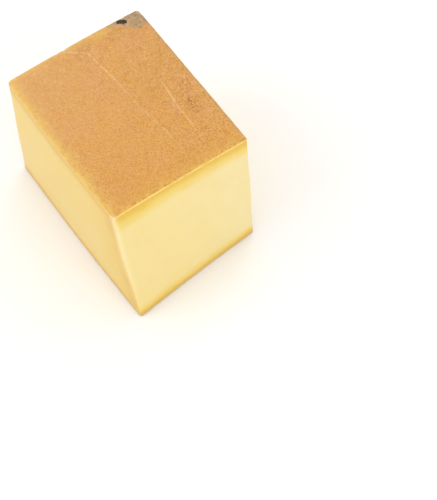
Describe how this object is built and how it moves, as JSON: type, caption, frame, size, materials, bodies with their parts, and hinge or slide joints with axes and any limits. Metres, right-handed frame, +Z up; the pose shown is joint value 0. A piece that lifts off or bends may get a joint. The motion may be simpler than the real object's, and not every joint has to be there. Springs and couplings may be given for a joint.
{
  "type": "gruyere cheese",
  "caption": "Block of hard gruyere cheese cut through a wheel's full height, with a thin flat rind on its top and base and smooth, slightly leaning cut sides.",
  "frame": {"origin": "middle of the base's bounding box, on the surface that the block stands on", "axes": "+Z up from the base towards the rind on top, -Y out of the near cut face, +Y along the block's length, +X to the right as seen from the near face"},
  "size_m": [0.0982, 0.1416, 0.1105],
  "materials": {
    "cheese": "smooth pale yellow cut cheese, golden near the rinds, under a dry orange-tan rind with a fine pebbled grain"
  },
  "bodies": {
    "root": {"cheese_block": "cheese"}
  },
  "joints": []
}
